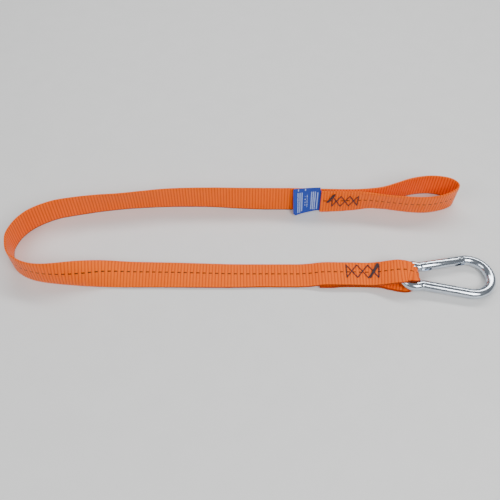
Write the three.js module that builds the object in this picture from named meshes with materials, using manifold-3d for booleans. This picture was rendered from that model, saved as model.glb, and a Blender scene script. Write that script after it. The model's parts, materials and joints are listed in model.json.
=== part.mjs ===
// Flat web sling: one length of narrow webbing with a sewn eye at each end. The small eye holds a
// pear-shaped spring-gate hook, the large eye is an open hand loop with a label beside it.
// Millimetres, +Z up. +X runs along the sling, +Y away from the hook. The sling lies on z = 0 in a
// long bight: the near run lies flat, and the web rises onto its edge on its way round the bight.
import * as THREE from 'three';
import { mergeVertices } from 'three/addons/utils/BufferGeometryUtils.js';
import Module from 'manifold-3d';

const wasm = await Module();
wasm.setup();

// Webbing
const WEB_WIDTH = 25;
const WEB_THICKNESS = 2;
const FIT_GAP = 0.3; // between pieces that touch
const STATION_STEP = 6.5; // along the web

// Label, sewn in between the two layers of the hand loop's lap
const LABEL_HEIGHT = 28;
const LABEL_THICKNESS = 0.5;
const LABEL_FOOT = 0.5; // clear height under the label
const LOOP_LAP_GAP = LABEL_THICKNESS + 2 * 0.25;

// Seams: a crossed zigzag with an upright stroke at each end
const THREAD_RADIUS = 0.35;
const THREAD_TIDY = 0.01; // corners closer than this are joined
const SEAM_CROSSES = 3;
const SEAM_HEIGHT = 16;
const HOOK_SEAM = { from: 44, length: 31 }; // distances along the top layer from its flexing end
const LOOP_SEAM = { from: 7, length: 33 }; // distances from the cut end of the front layer

// Spring-gate hook: u runs from the small end to the large end, v towards the gate
const HOOK_LENGTH = 90;
const WIRE = 9;
const SMALL_BEND = 12; // centreline radii
const LARGE_BEND = 19;
const NECK = 3.2; // how far the two sides draw in beside the small bend
const GATE_PIN_U = 27.5;
const LATCH_FROM_END = 30; // from the outside of the large end to the latch pin
const PIN_RADIUS = 1.2;
const PLATE = 2.8; // thickness of the tongue and the nose that enter the gate's slots
const TONGUE_HALF = 3; // half-width of the square tongue that the plunger bears on
const LATCH_LIP = 3.3; // of the gate's slot, behind the latch hole
const BORE_WALL = 2; // between the spring's bore and the latch slot
const PLUNGER_TRAVEL = 1;
const PLUNGER_RADIUS = 2;
const PLUNGER_LENGTH = 6;
const SPRING_WIRE = 0.3; // radius
const SPRING_TURNS = 9;

// Where things lie
const HOOK_X = 132.6; // outermost point of the hook's small end
const HOOK_Y = -35;
const NEAR_Y = -31; // middle of the flat near run
const HOOK_FLEX_X = 44;
const LOOP_FLEX_X = 38;
const HOOK_TAIL_X = 63; // cut end of the lower layer under the hook seam
const LOOP_TAIL_X = 69; // cut end of the hand loop's front layer
const LAP_Y = 54.1; // middle of the hand loop's back layer at its cut end
const LAP_LEAN = 8; // degrees that the lap leans off upright
const EYE_SIDE_ROOM = 1.5; // between the narrowed web and each side of the hook's small end
const MIDDLE = { x: -1.3, y: 8.7 }; // middle of the sling's footprint, which is the origin

const wire = WIRE / 2;
const barX = HOOK_X + wire;
const barZ = WEB_THICKNESS + FIT_GAP + wire;
const threadLift = THREAD_RADIUS + FIT_GAP;
const narrowWidth = 2 * (SMALL_BEND - wire - EYE_SIDE_ROOM);
// How far the bent bar falls back at the edges of the narrowed web: the hook turns in this room.
const swingRoom = SMALL_BEND - Math.sqrt(SMALL_BEND ** 2 - (narrowWidth / 2) ** 2)
  + 2 * FIT_GAP;
const latchPinU = HOOK_LENGTH - LATCH_FROM_END;
const lapPitch = WEB_THICKNESS + LOOP_LAP_GAP; // between the middles of the hand loop's two layers

// [x, y, roll]: roll is 0 with the web flat and its traced face up, 90 with it on edge and the
// traced face outwards. The web always stands on its lower edge.
const runRoute = [
  [HOOK_FLEX_X - FIT_GAP / 2, NEAR_Y, 0], [26, -31, 0], [8, -31, 0], [-18, -31.5, 2],
  [-44, -31.5, 5], [-68, -31.5, 8], [-90, -31.5, 10], [-111, -32, 15],
  [-132, -33.2, 30], [-152, -36, 56], [-171, -37.5, 77], [-189, -36.5, 88],
  [-205, -31.5, 91], [-217, -22, 92], [-222.5, -9, 92], [-223.8, 2, 91],
  [-219.5, 16, 91], [-209, 29, 92], [-191, 39.5, 91], [-172, 44.5, 90],
  [-150, 48.8, 87], [-128, 51.8, 84], [-106, 54.2, 86], [-84, 55.9, 90],
  [-60, 56.7, 92], [-36, 56.6, 94], [-12, 55.5, 98], [14, 54.8, 101],
  [LOOP_FLEX_X - FIT_GAP / 2, 54.7, 101],
];
const loopRoute = [
  [LOOP_FLEX_X + FIT_GAP / 2, 54.7, 101], [56, 54.4, 100], [74, LAP_Y, 90 + LAP_LEAN], [92, 54.4, 94],
  [106, 55.2, 91], [118, 56.7, 89], [131, 59.3, 88], [145, 65, 87],
  [158, 70.4, 87], [170, 73.5, 87], [181, 74.4, 88], [192, 73, 89],
  [200, 69.6, 91], [204.6, 63.6, 92], [202.6, 57.6, 93], [195, 52.4, 95],
  [185, 48.6, 97], [173, 46.6, 98], [160, 46.9, 99], [146, 48.6, 101],
  [132, 50.8, 102], [118, 55.4 - lapPitch, 97], [106, 55.2 - lapPitch, 91],
  [92, 54.4 - lapPitch, 86], [LOOP_TAIL_X + 5, LAP_Y - lapPitch, 90 - LAP_LEAN],
  [LOOP_TAIL_X, LAP_Y - lapPitch, 90 - LAP_LEAN],
];
const labelRise = LABEL_FOOT + (LABEL_HEIGHT - WEB_WIDTH) / 2;
const betweenLayers = LAP_Y - lapPitch / 2
  + labelRise * Math.tan(THREE.MathUtils.degToRad(LAP_LEAN));
const labelRoute = [
  [LOOP_TAIL_X + 13, betweenLayers, 83.2], [LOOP_TAIL_X + 5, betweenLayers, 90 - LAP_LEAN],
  [LOOP_TAIL_X, betweenLayers, 90 - LAP_LEAN],
  [62, 52.2, 79], [52, 50.6, 73], [43.5, 49.3, 67],
];

// A smooth curve through rows of numbers, sampled about every step millimetres.
function sample(rows, step) {
  const row = (i) => rows[Math.min(Math.max(i, 0), rows.length - 1)];
  const out = [];
  for (let i = 0; i < rows.length - 1; i += 1) {
    const [a, b, c, d] = [row(i - 1), row(i), row(i + 1), row(i + 2)];
    const count = Math.max(1, Math.round(Math.hypot(c[0] - b[0], c[1] - b[1]) / step));
    for (let k = 0; k < count; k += 1) {
      const t = k / count;
      out.push(b.map((_, j) => b[j] + 0.5 * t * (c[j] - a[j]
        + t * (2 * a[j] - 5 * b[j] + 4 * c[j] - d[j] + t * (3 * (b[j] - c[j]) + d[j] - a[j])))));
    }
  }
  out.push([...rows[rows.length - 1]]);
  return out;
}

// Turns sampled centres into stations with a tangent, a side across the web and a normal on its
// traced face.
function stations(centres, sideAt) {
  return centres.map((centre, i) => {
    const before = centres[Math.max(i - 1, 0)];
    const after = centres[Math.min(i + 1, centres.length - 1)];
    const along = after.clone().sub(before).normalize();
    const normal = sideAt(i, along).cross(along).normalize();
    const side = along.clone().cross(normal).normalize();
    return { centre, along, side, normal };
  });
}

// The web lying on its lower edge on the ground, following [x, y, roll] rows.
function standingWeb(rows, width, thickness, foot = 0) {
  const sampled = sample(rows, STATION_STEP);
  const rolls = sampled.map((r) => THREE.MathUtils.degToRad(r[2]));
  const sideAt = (i, along) => new THREE.Vector3(along.y, -along.x, 0).normalize()
    .multiplyScalar(Math.cos(rolls[i])).setZ(Math.sin(rolls[i]));
  const centres = sampled.map(([x, y]) => new THREE.Vector3(x, y, 0));
  for (let pass = 0; pass < 3; pass += 1) {
    stations(centres, sideAt).forEach(({ centre, side, normal }) => {
      centre.z = foot + 0.5 * width * Math.abs(side.z) + 0.5 * thickness * Math.abs(normal.z);
    });
  }
  return stations(centres, sideAt);
}

// A strip of the given half-sizes swept through its stations.
function strip(list, halfWidth, halfThickness) {
  const geometry = new THREE.BoxGeometry(1, 2, 2, list.length - 1, 2, 1);
  const position = geometry.attributes.position;
  const point = new THREE.Vector3();
  for (let i = 0; i < position.count; i += 1) {
    const index = Math.round((position.getX(i) + 0.5) * (list.length - 1));
    const { centre, side, normal } = list[index];
    point.copy(centre).addScaledVector(side, position.getY(i) * halfWidth(index))
      .addScaledVector(normal, position.getZ(i) * halfThickness(index));
    position.setXYZ(i, point.x, point.y, point.z);
  }
  return turnedOut(geometry);
}

// Makes sure that the faces point out, whichever way the strip's stations ran.
function turnedOut(geometry) {
  const closed = bare(geometry);
  const p = closed.attributes.position;
  const [a, b, c] = [new THREE.Vector3(), new THREE.Vector3(), new THREE.Vector3()];
  let volume = 0;
  const index = closed.index.array;
  for (let i = 0; i < index.length; i += 3) {
    a.fromBufferAttribute(p, index[i]);
    b.fromBufferAttribute(p, index[i + 1]);
    c.fromBufferAttribute(p, index[i + 2]);
    volume += a.dot(b.cross(c));
  }
  if (volume < 0) index.reverse();
  return closed;
}

// The closed mesh alone: shared corners, no normals and no texture places.
function bare(geometry) {
  geometry.deleteAttribute('normal');
  geometry.deleteAttribute('uv');
  return mergeVertices(geometry, 1e-4);
}

function toSolid(geometry) {
  const closed = turnedOut(geometry);
  return new wasm.Manifold(new wasm.Mesh({
    numProp: 3,
    vertProperties: new Float32Array(closed.attributes.position.array),
    triVerts: new Uint32Array(closed.index.array),
  }));
}

function toGeometry(solid) {
  const mesh = solid.getMesh();
  const geometry = new THREE.BufferGeometry();
  geometry.setAttribute('position', new THREE.BufferAttribute(mesh.vertProperties, 3));
  geometry.setIndex(new THREE.BufferAttribute(mesh.triVerts, 1));
  return geometry;
}

function named(name, geometry, material) {
  const mesh = new THREE.Mesh(geometry, material);
  mesh.name = name;
  return mesh;
}

// Webbing ---------------------------------------------------------------------------------------

// The hook eye: under the bar, up inside the hook's small end and back over the bar. The strip
// narrows where it passes through the small end. Rows are [x, z, width].
function hookEyeRows() {
  const low = WEB_THICKNESS / 2;
  const lap = low + THREAD_RADIUS * 2 + FIT_GAP + 0.1; // the seam's underside clears the ground
  const top = lap + WEB_THICKNESS + FIT_GAP;
  const over = barZ + wire + swingRoom + low;
  const narrow = narrowWidth;
  const tip = HOOK_X + wire + SMALL_BEND + 3;
  return [
    [HOOK_TAIL_X, low, WEB_WIDTH], [74, low + 0.2, WEB_WIDTH], [84, lap, WEB_WIDTH],
    [101, lap, WEB_WIDTH], [121, lap, WEB_WIDTH], [129, low + 0.1, 0.8 * WEB_WIDTH],
    [barX - 1, low + 0.1, narrow], [barX + 6, low + 0.2, narrow], [tip - 3, low + 1.7, narrow],
    [tip - 0.4, barZ - 1.8, narrow], [tip - 0.6, barZ + 1.6, narrow],
    [tip - 3.5, over - 1.3, narrow], [barX + 6, over - 0.2, narrow], [barX - 1, over, narrow],
    [128, over - 2.6, 0.8 * WEB_WIDTH], [118, top + 2.2, WEB_WIDTH], [108, top, WEB_WIDTH],
    [96, top, WEB_WIDTH], [82, top, WEB_WIDTH], [72, top, WEB_WIDTH],
    [64, top - 0.6, WEB_WIDTH], [54, low + 0.9, WEB_WIDTH],
    [HOOK_FLEX_X + FIT_GAP / 2, low, WEB_WIDTH],
  ];
}

function hookEyeStations() {
  const rows = sample(hookEyeRows(), STATION_STEP / 2);
  const centres = rows.map(([x, z, width]) => {
    const narrowing = THREE.MathUtils.clamp((WEB_WIDTH - width) / (WEB_WIDTH - narrowWidth), 0, 1);
    return new THREE.Vector3(x, THREE.MathUtils.lerp(NEAR_Y, HOOK_Y, narrowing), z);
  });
  const list = stations(centres, () => new THREE.Vector3(0, 1, 0));
  return { list, widths: rows.map((r) => r[2]) };
}

const webMaterial = new THREE.MeshStandardMaterial({ color: 0xff5a12, roughness: 0.75 });
const threadMaterial = new THREE.MeshStandardMaterial({ color: 0x3a1420, roughness: 0.7 });
const labelMaterial = new THREE.MeshStandardMaterial({ color: 0x143cbe, roughness: 0.6 });
const steelMaterial = new THREE.MeshStandardMaterial({
  color: 0xb9c2cc, roughness: 0.25, metalness: 1,
});
const springMaterial = new THREE.MeshStandardMaterial({
  color: 0x8d9299, roughness: 0.4, metalness: 1,
});

const runStations = standingWeb(runRoute, WEB_WIDTH, WEB_THICKNESS);
const loopStations = standingWeb(loopRoute, WEB_WIDTH, WEB_THICKNESS);
const eye = hookEyeStations();

const webHalf = () => WEB_WIDTH / 2;
const webThickHalf = () => WEB_THICKNESS / 2;

function webPieces() {
  const eyeWidth = (i) => eye.widths[i] / 2;
  return [
    named('web_run', strip(runStations, webHalf, webThickHalf), webMaterial),
    named('web_hook_eye', strip(eye.list, eyeWidth, webThickHalf), webMaterial),
    named('web_hand_loop', strip(loopStations, webHalf, webThickHalf), webMaterial),
  ];
}

function label() {
  const list = standingWeb(labelRoute, LABEL_HEIGHT, LABEL_THICKNESS, LABEL_FOOT);
  const geometry = strip(list, () => LABEL_HEIGHT / 2, () => LABEL_THICKNESS / 2);
  return named('label', geometry, labelMaterial);
}

// Seams -----------------------------------------------------------------------------------------

// A point on a web's face: distance along from its last station, height across from its middle,
// and which face (1 for the traced one). A lift holds the thread clear of the face.
function onFace(list, distance, across, face, lift) {
  let i = list.length - 1;
  let left = distance;
  while (i > 1 && left > list[i].centre.distanceTo(list[i - 1].centre)) {
    left -= list[i].centre.distanceTo(list[i - 1].centre);
    i -= 1;
  }
  const [a, b] = [list[i], list[i - 1]];
  const share = left / a.centre.distanceTo(b.centre);
  const mix = (key) => a[key].clone().lerp(b[key], share);
  return mix('centre').addScaledVector(mix('side'), across)
    .addScaledVector(mix('normal'), face * (WEB_THICKNESS / 2 + lift));
}

// The two crossing zigzags and the end strokes, as pairs of [distance, across].
function seamStrokes({ from, length }) {
  const pitch = length / SEAM_CROSSES;
  const half = SEAM_HEIGHT / 2;
  const strokes = [];
  for (let i = 0; i < SEAM_CROSSES; i += 1) {
    const [near, far] = [from + i * pitch, from + (i + 1) * pitch];
    strokes.push([[near, -half], [far, half]]);
    strokes.push([[near, half], [far, -half]]);
  }
  strokes.push([[from, -half], [from, half]]);
  strokes.push([[from + length, -half], [from + length, half]]);
  return strokes;
}

function stroke(start, end) {
  const length = start.distanceTo(end) + THREAD_RADIUS;
  const geometry = new THREE.CylinderGeometry(THREAD_RADIUS, THREAD_RADIUS, length, 6);
  const turn = new THREE.Quaternion().setFromUnitVectors(
    new THREE.Vector3(0, 1, 0), end.clone().sub(start).normalize());
  geometry.applyQuaternion(turn);
  const middle = start.clone().lerp(end, 0.5);
  geometry.translate(middle.x, middle.y, middle.z);
  return toSolid(geometry);
}

function seamThread(name, list, seam, face) {
  let solid = null;
  for (const [a, b] of seamStrokes(seam)) {
    const [start, end] = [a, b].map(([d, q]) => onFace(list, d, q, face, threadLift));
    const piece = stroke(start, end);
    solid = solid ? solid.add(piece) : piece;
  }
  return named(name, toGeometry(solid.simplify(THREAD_TIDY)), threadMaterial);
}

function seams() {
  const eyeStart = [...eye.list].reverse(); // the lower layer, counted from its cut end
  const lowerFrom = HOOK_FLEX_X + HOOK_SEAM.from - HOOK_TAIL_X;
  const backLayer = [...loopStations].reverse();
  const backFrom = LOOP_TAIL_X - LOOP_FLEX_X + LOOP_SEAM.from;
  return [
    seamThread('hook_seam_needle_thread', eye.list, HOOK_SEAM, 1),
    seamThread('hook_seam_bobbin_thread', eyeStart,
      { from: lowerFrom, length: HOOK_SEAM.length }, 1),
    seamThread('loop_seam_needle_thread', loopStations, LOOP_SEAM, 1),
    seamThread('loop_seam_bobbin_thread', backLayer,
      { from: backFrom, length: LOOP_SEAM.length }, 1),
  ];
}

// Spring-gate hook ------------------------------------------------------------------------------

const smallCentre = wire + SMALL_BEND;
const largeCentre = HOOK_LENGTH - wire - LARGE_BEND;
const gateSlope = Math.asin((LARGE_BEND - SMALL_BEND + NECK) / (largeCentre - smallCentre));
const touchU = largeCentre - LARGE_BEND * Math.sin(gateSlope);
const touchV = LARGE_BEND * Math.cos(gateSlope);
const onGateLine = (u) => touchV + (u - touchU) * Math.tan(gateSlope);
const gateLength = (latchPinU - GATE_PIN_U) / Math.cos(gateSlope); // pin to pin
const gateEnd = gateLength + wire * 0.9;

function arc(centre, radius, from, to, step) {
  const points = [];
  const count = Math.round(Math.abs(to - from) / step);
  for (let i = 0; i <= count; i += 1) {
    const angle = THREE.MathUtils.degToRad(from + (to - from) * i / count);
    points.push(new THREE.Vector3(centre + radius * Math.cos(angle), radius * Math.sin(angle), 0));
  }
  return points;
}

// The wire's centreline, from its end beside the gate's hinge round to its end at the latch.
function hookCentreline() {
  const along = (u) => new THREE.Vector3(u, onGateLine(u), 0);
  const mirrored = (u) => new THREE.Vector3(u, -onGateLine(u), 0);
  const hingeEnd = GATE_PIN_U - (wire + 0.5) * Math.cos(gateSlope);
  const latchEnd = latchPinU + (gateEnd - gateLength + 0.5) * Math.cos(gateSlope);
  const latchAngle = 90 - THREE.MathUtils.radToDeg(Math.asin((latchEnd - largeCentre) / LARGE_BEND));
  const slope = THREE.MathUtils.radToDeg(gateSlope);
  return [
    along(hingeEnd), ...arc(smallCentre, SMALL_BEND, 72, 288, 18),
    mirrored(hingeEnd + 0.5), mirrored(hingeEnd + 7), mirrored((hingeEnd + touchU) / 2),
    ...arc(largeCentre, LARGE_BEND, -90 - slope, latchAngle, 14),
  ];
}

function sweep(points, radius, sides, steps) {
  const outline = new THREE.Shape();
  for (let i = 0; i < sides; i += 1) {
    const angle = 2 * Math.PI * i / sides;
    outline[i ? 'lineTo' : 'moveTo'](radius * Math.cos(angle), radius * Math.sin(angle));
  }
  const path = new THREE.CatmullRomCurve3(points);
  return new THREE.ExtrudeGeometry(outline, { steps, extrudePath: path, bevelEnabled: false });
}

// A prism along w, its outline given in gate coordinates: s along the gate from its hinge pin, and
// r across it.
function gatePrism(outline, thickness) {
  const shape = new THREE.Shape(outline.map(([s, r]) => new THREE.Vector2(s, r)));
  const geometry = new THREE.ExtrudeGeometry(shape, { depth: thickness, bevelEnabled: false });
  geometry.translate(0, 0, -thickness / 2);
  return toSolid(toGateFrame(geometry));
}

function toGateFrame(geometry) {
  geometry.rotateZ(gateSlope);
  geometry.translate(GATE_PIN_U, onGateLine(GATE_PIN_U), 0);
  return geometry;
}

const rectangle = (s0, s1, r0, r1) => [[s0, r0], [s1, r0], [s1, r1], [s0, r1]];

function roundedEnd(s, radius) {
  const points = [];
  for (let angle = 90; angle <= 270; angle += 15) {
    const a = THREE.MathUtils.degToRad(angle);
    points.push([s + radius * Math.cos(a), radius * Math.sin(a)]);
  }
  return points;
}

// A round bar along the gate (axis s) or across the hook's plane (axis w).
function gateBar(radius, from, to, sides) {
  const geometry = new THREE.CylinderGeometry(radius, radius, to - from, sides);
  geometry.rotateZ(-Math.PI / 2);
  geometry.translate((from + to) / 2, 0, 0);
  return toGateFrame(geometry);
}

function pinAt(s, radius, length) {
  const geometry = new THREE.CylinderGeometry(radius, radius, length, 20);
  geometry.rotateX(Math.PI / 2);
  geometry.translate(s, 0, 0);
  return toGateFrame(geometry);
}

const holeRadius = PIN_RADIUS + FIT_GAP;
const slotWidth = PLATE + 2 * FIT_GAP;
const pinLength = WIRE - 2 * FIT_GAP;
const boreStart = TONGUE_HALF * 1.42 + 1;
const latchSlot = gateLength - holeRadius - LATCH_LIP;

function hookBody() {
  const room = wire + FIT_GAP + 0.1;
  const gateRoom = gatePrism(
    [...roundedEnd(0, room), [gateEnd + 0.4, -room], [gateEnd + 0.4, room]], 2 * WIRE);
  const bar = toSolid(sweep(hookCentreline(), wire, 14, 72)).subtract(gateRoom);
  const tongue = gatePrism(rectangle(-wire - 3, TONGUE_HALF, -TONGUE_HALF, TONGUE_HALF), PLATE);
  const nose = gatePrism(
    rectangle(latchSlot + FIT_GAP + 0.2, gateEnd + 3, -wire * 0.75, wire * 0.75), PLATE);
  const notch = gatePrism(
    rectangle(gateLength - holeRadius, gateLength + holeRadius, -wire, holeRadius), 2 * PLATE);
  const pinHole = toSolid(pinAt(0, holeRadius, WIRE * 2));
  return bar.add(tongue).add(nose).subtract(notch).subtract(pinHole);
}

function gate() {
  const blank = toSolid(gateBar(wire, -wire, gateEnd, 18));
  const outline = [...roundedEnd(0, wire), [gateEnd, -wire], [gateEnd, wire]];
  const hingeSlot = gatePrism(rectangle(-2 * wire, boreStart, -2 * wire, 2 * wire), slotWidth);
  const latch = gatePrism(rectangle(latchSlot, gateEnd + wire, -2 * wire, 2 * wire), slotWidth);
  const bore = toSolid(gateBar(PLUNGER_RADIUS + FIT_GAP, TONGUE_HALF, latchSlot - BORE_WALL, 16));
  return blank.intersect(gatePrism(outline, 2 * WIRE)).subtract(hingeSlot).subtract(latch)
    .subtract(bore).subtract(toSolid(pinAt(0, holeRadius, WIRE * 2)))
    .subtract(toSolid(pinAt(gateLength, holeRadius, WIRE * 2)));
}

function spring() {
  const start = TONGUE_HALF + FIT_GAP + PLUNGER_LENGTH + PLUNGER_TRAVEL + FIT_GAP + SPRING_WIRE;
  const end = latchSlot - BORE_WALL - FIT_GAP - SPRING_WIRE;
  const radius = PLUNGER_RADIUS - SPRING_WIRE;
  const points = [];
  const perTurn = 10;
  for (let i = 0; i <= SPRING_TURNS * perTurn; i += 1) {
    const angle = 2 * Math.PI * i / perTurn;
    const s = start + (end - start) * i / (SPRING_TURNS * perTurn);
    points.push(new THREE.Vector3(s, radius * Math.cos(angle), radius * Math.sin(angle)));
  }
  return toGateFrame(sweep(points, SPRING_WIRE, 6, SPRING_TURNS * perTurn));
}

function hook() {
  const plungerFrom = TONGUE_HALF + FIT_GAP;
  const group = new THREE.Group();
  group.add(
    named('hook_body', toGeometry(hookBody()), steelMaterial),
    named('gate', toGeometry(gate()), steelMaterial),
    named('gate_hinge_pin', turnedOut(pinAt(0, PIN_RADIUS, pinLength)), steelMaterial),
    named('latch_pin', turnedOut(pinAt(gateLength, PIN_RADIUS, pinLength)), steelMaterial),
    named('gate_plunger',
      turnedOut(gateBar(PLUNGER_RADIUS, plungerFrom, plungerFrom + PLUNGER_LENGTH, 14)),
      steelMaterial),
    named('gate_spring', turnedOut(spring()), springMaterial),
  );
  group.children.forEach((mesh) => mesh.geometry.translate(-wire, 0, 0));
  group.position.set(barX, HOOK_Y, barZ);
  group.rotation.y = Math.asin((barZ - wire) / (HOOK_LENGTH - 2 * wire));
  return group;
}

const sling = new THREE.Group();
sling.add(...webPieces(), label(), ...seams(), hook());
sling.position.set(-MIDDLE.x, -MIDDLE.y, 0);

export default sling;
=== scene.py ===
"""Looks of a flat web sling: ribbed webbing, two sewn eyes, a woven label and a spring-gate hook.

Routes and outlines are in millimetres in the sling's own layout, and point() and hook_place() turn
them into the frame's metres. The webbing is one continuous ribbon, cut where joints need it.
"""
import bpy
import json
import math
import random
import numpy as np
from mathutils import Matrix, Vector
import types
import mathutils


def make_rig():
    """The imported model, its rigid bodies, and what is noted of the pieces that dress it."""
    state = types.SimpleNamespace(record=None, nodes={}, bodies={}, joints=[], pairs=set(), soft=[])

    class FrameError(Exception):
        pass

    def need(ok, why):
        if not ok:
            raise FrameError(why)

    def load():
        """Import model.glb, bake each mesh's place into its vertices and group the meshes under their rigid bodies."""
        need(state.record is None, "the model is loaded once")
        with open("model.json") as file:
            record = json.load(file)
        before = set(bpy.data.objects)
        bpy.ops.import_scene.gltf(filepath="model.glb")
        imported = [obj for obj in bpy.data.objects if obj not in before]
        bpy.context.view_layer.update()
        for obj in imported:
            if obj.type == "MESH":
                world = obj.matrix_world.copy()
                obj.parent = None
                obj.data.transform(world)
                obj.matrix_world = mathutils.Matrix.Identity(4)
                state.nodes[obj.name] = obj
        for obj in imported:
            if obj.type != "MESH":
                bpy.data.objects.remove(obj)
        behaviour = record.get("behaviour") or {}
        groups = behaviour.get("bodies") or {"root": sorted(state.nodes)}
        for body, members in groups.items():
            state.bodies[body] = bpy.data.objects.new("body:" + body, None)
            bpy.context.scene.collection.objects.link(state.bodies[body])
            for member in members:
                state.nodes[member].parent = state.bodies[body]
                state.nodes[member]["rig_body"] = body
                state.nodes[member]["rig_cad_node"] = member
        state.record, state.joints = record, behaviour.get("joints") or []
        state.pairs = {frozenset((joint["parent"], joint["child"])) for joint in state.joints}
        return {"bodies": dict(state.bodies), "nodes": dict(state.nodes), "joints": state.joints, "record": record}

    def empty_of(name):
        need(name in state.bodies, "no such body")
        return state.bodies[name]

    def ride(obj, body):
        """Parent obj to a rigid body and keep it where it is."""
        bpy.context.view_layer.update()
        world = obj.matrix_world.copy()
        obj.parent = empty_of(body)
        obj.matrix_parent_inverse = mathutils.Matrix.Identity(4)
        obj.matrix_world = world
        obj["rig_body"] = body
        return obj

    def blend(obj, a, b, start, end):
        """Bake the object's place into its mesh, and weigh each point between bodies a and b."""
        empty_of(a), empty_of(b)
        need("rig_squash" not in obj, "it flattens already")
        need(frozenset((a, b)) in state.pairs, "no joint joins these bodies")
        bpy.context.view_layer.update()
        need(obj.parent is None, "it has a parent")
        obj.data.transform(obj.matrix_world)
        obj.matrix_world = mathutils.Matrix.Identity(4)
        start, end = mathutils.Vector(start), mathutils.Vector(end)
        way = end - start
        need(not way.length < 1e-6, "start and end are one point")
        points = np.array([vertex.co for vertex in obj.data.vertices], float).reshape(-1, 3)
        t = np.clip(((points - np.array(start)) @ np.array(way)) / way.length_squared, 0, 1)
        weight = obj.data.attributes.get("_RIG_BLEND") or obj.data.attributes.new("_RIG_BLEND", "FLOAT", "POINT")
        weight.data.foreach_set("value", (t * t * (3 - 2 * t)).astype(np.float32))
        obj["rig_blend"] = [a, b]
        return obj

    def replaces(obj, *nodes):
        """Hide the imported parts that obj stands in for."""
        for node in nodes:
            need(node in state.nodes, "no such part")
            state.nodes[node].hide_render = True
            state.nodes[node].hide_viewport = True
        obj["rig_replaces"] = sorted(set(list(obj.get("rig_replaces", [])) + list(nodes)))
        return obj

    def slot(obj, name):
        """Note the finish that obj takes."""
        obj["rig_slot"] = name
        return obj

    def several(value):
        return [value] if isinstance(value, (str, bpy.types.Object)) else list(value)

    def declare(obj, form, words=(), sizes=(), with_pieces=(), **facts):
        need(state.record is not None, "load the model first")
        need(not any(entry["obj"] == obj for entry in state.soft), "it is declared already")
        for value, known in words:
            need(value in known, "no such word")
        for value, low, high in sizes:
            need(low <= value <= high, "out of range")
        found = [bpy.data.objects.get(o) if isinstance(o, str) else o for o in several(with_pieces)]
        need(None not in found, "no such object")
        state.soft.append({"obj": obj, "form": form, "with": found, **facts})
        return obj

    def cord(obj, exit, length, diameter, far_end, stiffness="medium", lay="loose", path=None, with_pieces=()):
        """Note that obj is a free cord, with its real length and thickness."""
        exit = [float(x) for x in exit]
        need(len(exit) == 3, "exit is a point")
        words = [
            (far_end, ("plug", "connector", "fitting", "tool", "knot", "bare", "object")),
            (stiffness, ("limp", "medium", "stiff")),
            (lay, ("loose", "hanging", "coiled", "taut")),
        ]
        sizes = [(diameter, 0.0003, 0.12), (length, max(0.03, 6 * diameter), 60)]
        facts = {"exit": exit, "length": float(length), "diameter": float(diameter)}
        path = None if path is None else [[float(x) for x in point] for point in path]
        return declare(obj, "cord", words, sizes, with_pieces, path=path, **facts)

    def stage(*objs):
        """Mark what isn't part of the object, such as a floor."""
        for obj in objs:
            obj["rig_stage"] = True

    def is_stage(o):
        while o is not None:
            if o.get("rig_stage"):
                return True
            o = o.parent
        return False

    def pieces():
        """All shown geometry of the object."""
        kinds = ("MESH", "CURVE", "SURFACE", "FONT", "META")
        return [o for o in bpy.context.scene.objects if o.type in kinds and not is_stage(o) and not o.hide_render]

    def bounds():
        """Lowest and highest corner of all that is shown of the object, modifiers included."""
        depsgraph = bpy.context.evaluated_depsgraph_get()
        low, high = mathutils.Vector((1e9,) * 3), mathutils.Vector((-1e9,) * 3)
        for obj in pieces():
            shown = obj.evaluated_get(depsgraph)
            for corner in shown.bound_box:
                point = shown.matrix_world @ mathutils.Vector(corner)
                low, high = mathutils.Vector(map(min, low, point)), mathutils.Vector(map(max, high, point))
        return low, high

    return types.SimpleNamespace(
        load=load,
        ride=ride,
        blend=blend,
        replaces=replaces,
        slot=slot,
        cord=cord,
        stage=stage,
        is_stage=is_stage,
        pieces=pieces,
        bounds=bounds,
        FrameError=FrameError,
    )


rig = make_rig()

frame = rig.load()
cad_low, cad_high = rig.bounds()
dice = random.Random(7)

MM = 0.001
MIDDLE = (-1.3, 8.7)  # middle of the footprint in the layout, which is the frame's origin

# Webbing
WEB_WIDTH = 25.0
WEB_THICKNESS = 1.9
RIB_PITCH = 2.86
RIB_HEIGHT = 0.27
RIB_FULLNESS = 0.65  # below 1 makes the crests broader than the grooves
RIB_FLOOR = 0.1  # how far the ribs' middle height lies under the face
RIB_MIDDLE = 0.4
RIB_SOFTENED = 1.2  # how fast the ribs fade where the web gathers
FOLD_HEIGHT = 0.5  # of the waves across the web where it gathers
SELVEDGE_THINNING = 0.14
SELVEDGE_BULGE = 0.4
WEB_BOW = math.radians(40)  # slope at its edges where the near run turns onto its edge
RINGS_PER_RIB = 6
ACROSS = 22  # faces across one side of the web
ROUND = 3  # faces round each selvedge

# Places along the layout
NEAR_Y = -31.0
HOOK_FLEX_X = 44.0
LOOP_FLEX_X = 38.0
HOOK_TAIL_X = 63.0

# Hook
HOOK_LENGTH = 90.0
WIRE = 4.5  # radius
SMALL_BEND = 12.0
SMALL_VISUAL = 11.25  # the small bend inside its two necks
LARGE_BEND = 19.0
NECK = 3.2  # how far the two sides draw in beside the small bend
LATCH_LIP = 3.3  # of the gate's slot, behind the latch hole
GATE_PIN_U = 27.5
LATCH_PIN_U = 60.0
PIN_RADIUS = 1.2
FIT_GAP = 0.3
PLATE = 2.8  # the tongue and the nose that enter the gate's slots
SPRING_WIRE = 0.3  # radius
SPRING_RADIUS = 1.7  # to the middle of its wire
SPRING_TURNS = 9
SPRING_SIDES = 20  # points in each turn
PAST = 9.0  # how far a cutting tool runs past the steel
HOOK_X = 132.6
HOOK_Y = -35.0
BAR_Z = 2.0 + FIT_GAP + WIRE

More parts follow.
